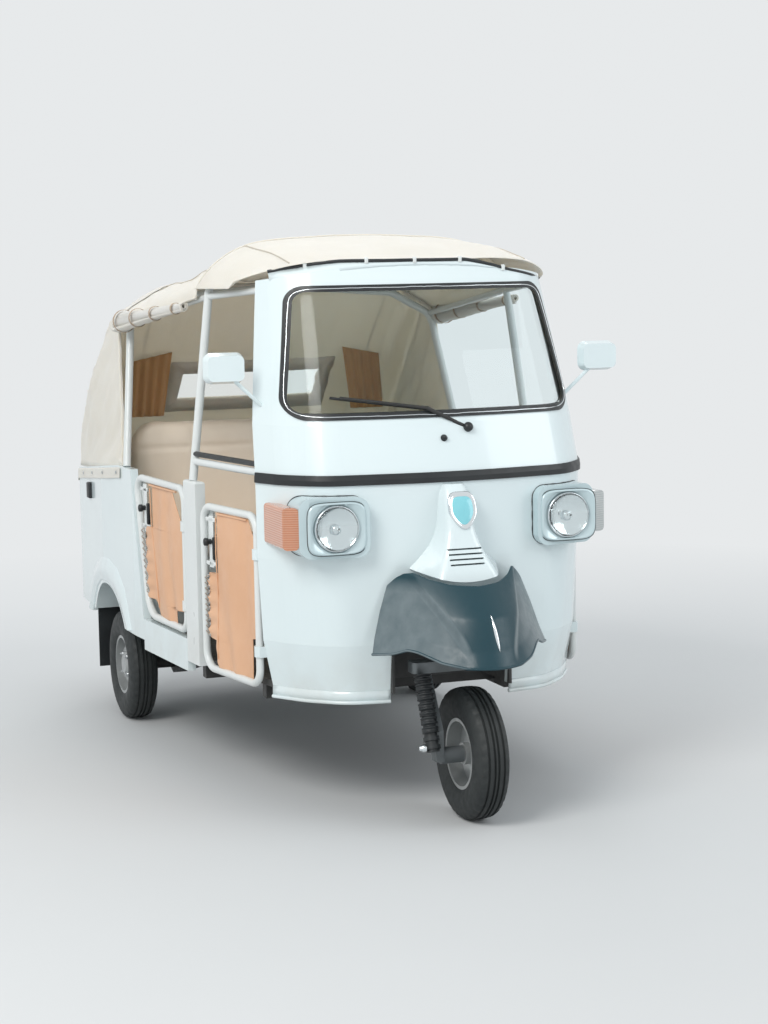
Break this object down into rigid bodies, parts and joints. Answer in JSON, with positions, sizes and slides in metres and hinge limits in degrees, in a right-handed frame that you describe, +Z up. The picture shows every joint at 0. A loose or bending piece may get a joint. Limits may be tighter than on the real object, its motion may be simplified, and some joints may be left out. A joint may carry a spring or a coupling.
{
  "type": "three-wheeled passenger taxi",
  "caption": "Three-wheeled passenger taxi with an open cab, canvas roof and rear hood, half doors of tube and vinyl, rear bench and single steered front wheel.",
  "frame": {"origin": "on the ground, at the middle of the overall length and width", "axes": "-Y forward, +X to the vehicle's left, +Z up"},
  "size_m": [1.4, 2.8699, 1.8017],
  "materials": {
    "white_paint": "glossy cool white",
    "windscreen_glass": "clear",
    "black_rubber": "satin",
    "guard_plastic": "satin, very dark blue-green",
    "lamp_silver": "metallic blue-grey",
    "lamp_lens": "clear, ribbed",
    "indicator_orange": "clear amber",
    "indicator_pale": "pale grey",
    "dash_plastic": "pale grey",
    "floor_mat": "ribbed mat",
    "chassis_black": "satin black",
    "canvas_cream": "woven canvas",
    "seat_cream": "vinyl, cream",
    "seat_tan": "vinyl, tan",
    "door_vinyl": "vinyl, orange tan",
    "steel_grey": "grey",
    "mirror_glass": "silvered",
    "tail_red": "red lens",
    "tyre": "black rubber",
    "rim_silver": "silver paint",
    "engine_grey": "cast",
    "damper_black": "ribbed bellows"
  },
  "bodies": {
    "body": {"cab_front": "white_paint", "screen_frame": "white_paint", "windscreen": "windscreen_glass", "screen_seal": "black_rubber", "belt_trim": "black_rubber", "front_mudguard": "guard_plastic", "headlamp_housings": "lamp_silver", "headlamp_lenses": "lamp_lens", "indicator_right": "indicator_orange", "indicator_left": "indicator_pale", "dash": "dash_plastic", "cab_floor": "floor_mat", "chassis": "chassis_black", "engine": "engine_grey", "door_posts": "white_paint", "rear_body": "white_paint", "roof_canopy": "canvas_cream", "rear_hood": "canvas_cream", "roof_frame": "white_paint", "curtain_rolls": "canvas_cream", "rear_seat_cushion": "seat_cream", "rear_seat_back": "seat_cream", "driver_cushion": "seat_tan", "driver_back": "seat_tan", "driver_seat_base": "chassis_black", "grab_rails": "black_rubber", "mirrors": "white_paint", "mirror_glasses": "mirror_glass", "wiper": "chassis_black", "tail_lamps": "tail_red", "rear_bumper": "steel_grey", "mud_flaps": "black_rubber", "trailing_arms": "chassis_black", "rear_dampers": "chassis_black"},
    "steering": {"handlebar": "chassis_black", "fork": "steel_grey", "front_damper": "damper_black"},
    "front_wheel": {"front_tyre": "tyre", "front_rim": "rim_silver"},
    "rear_wheel_right": {"rear_tyre_right": "tyre", "rear_rim_right": "rim_silver"},
    "rear_wheel_left": {"rear_tyre_left": "tyre", "rear_rim_left": "rim_silver"},
    "front_door_right": {"front_door_frame_right": "white_paint", "front_door_panel_right": "door_vinyl"},
    "front_door_left": {"front_door_frame_left": "white_paint", "front_door_panel_left": "door_vinyl"},
    "rear_door_right": {"rear_door_frame_right": "white_paint", "rear_door_panel_right": "door_vinyl"},
    "rear_door_left": {"rear_door_frame_left": "white_paint", "rear_door_panel_left": "door_vinyl"},
    "engine_lid": {"engine_lid": "white_paint"}
  },
  "joints": [
    {"name": "steer", "type": "hinge", "parent": "body", "child": "steering", "pos_m": [0, -1.10516, 0.4], "axis": [0, 0.3173, 0.9483], "range_deg": [-38, 38]},
    {"name": "front_wheel_spin", "type": "hinge", "parent": "steering", "child": "front_wheel", "pos_m": [0.012, -1.189, 0.205], "axis": [1, 0, 0], "continuous": true},
    {"name": "rear_wheel_right_spin", "type": "hinge", "parent": "body", "child": "rear_wheel_right", "pos_m": [-0.585, 0.731, 0.205], "axis": [1, 0, 0], "continuous": true},
    {"name": "rear_wheel_left_spin", "type": "hinge", "parent": "body", "child": "rear_wheel_left", "pos_m": [0.585, 0.731, 0.205], "axis": [1, 0, 0], "continuous": true},
    {"name": "front_door_right_swing", "type": "hinge", "parent": "body", "child": "front_door_right", "pos_m": [-0.54058, -0.795, 0.6], "axis": [0, 0, 1], "range_deg": [0, 70]},
    {"name": "front_door_left_swing", "type": "hinge", "parent": "body", "child": "front_door_left", "pos_m": [0.54058, -0.795, 0.6], "axis": [0, 0, -1], "range_deg": [0, 70]},
    {"name": "rear_door_right_swing", "type": "hinge", "parent": "body", "child": "rear_door_right", "pos_m": [-0.62029, -0.229, 0.6], "axis": [0, 0, 1], "range_deg": [0, 70]},
    {"name": "rear_door_left_swing", "type": "hinge", "parent": "body", "child": "rear_door_left", "pos_m": [0.62029, -0.229, 0.6], "axis": [0, 0, -1], "range_deg": [0, 70]},
    {"name": "engine_lid_lift", "type": "hinge", "parent": "body", "child": "engine_lid", "pos_m": [0, 1.4195, 0.803], "axis": [1, 0, 0], "range_deg": [0, 75]}
  ]
}
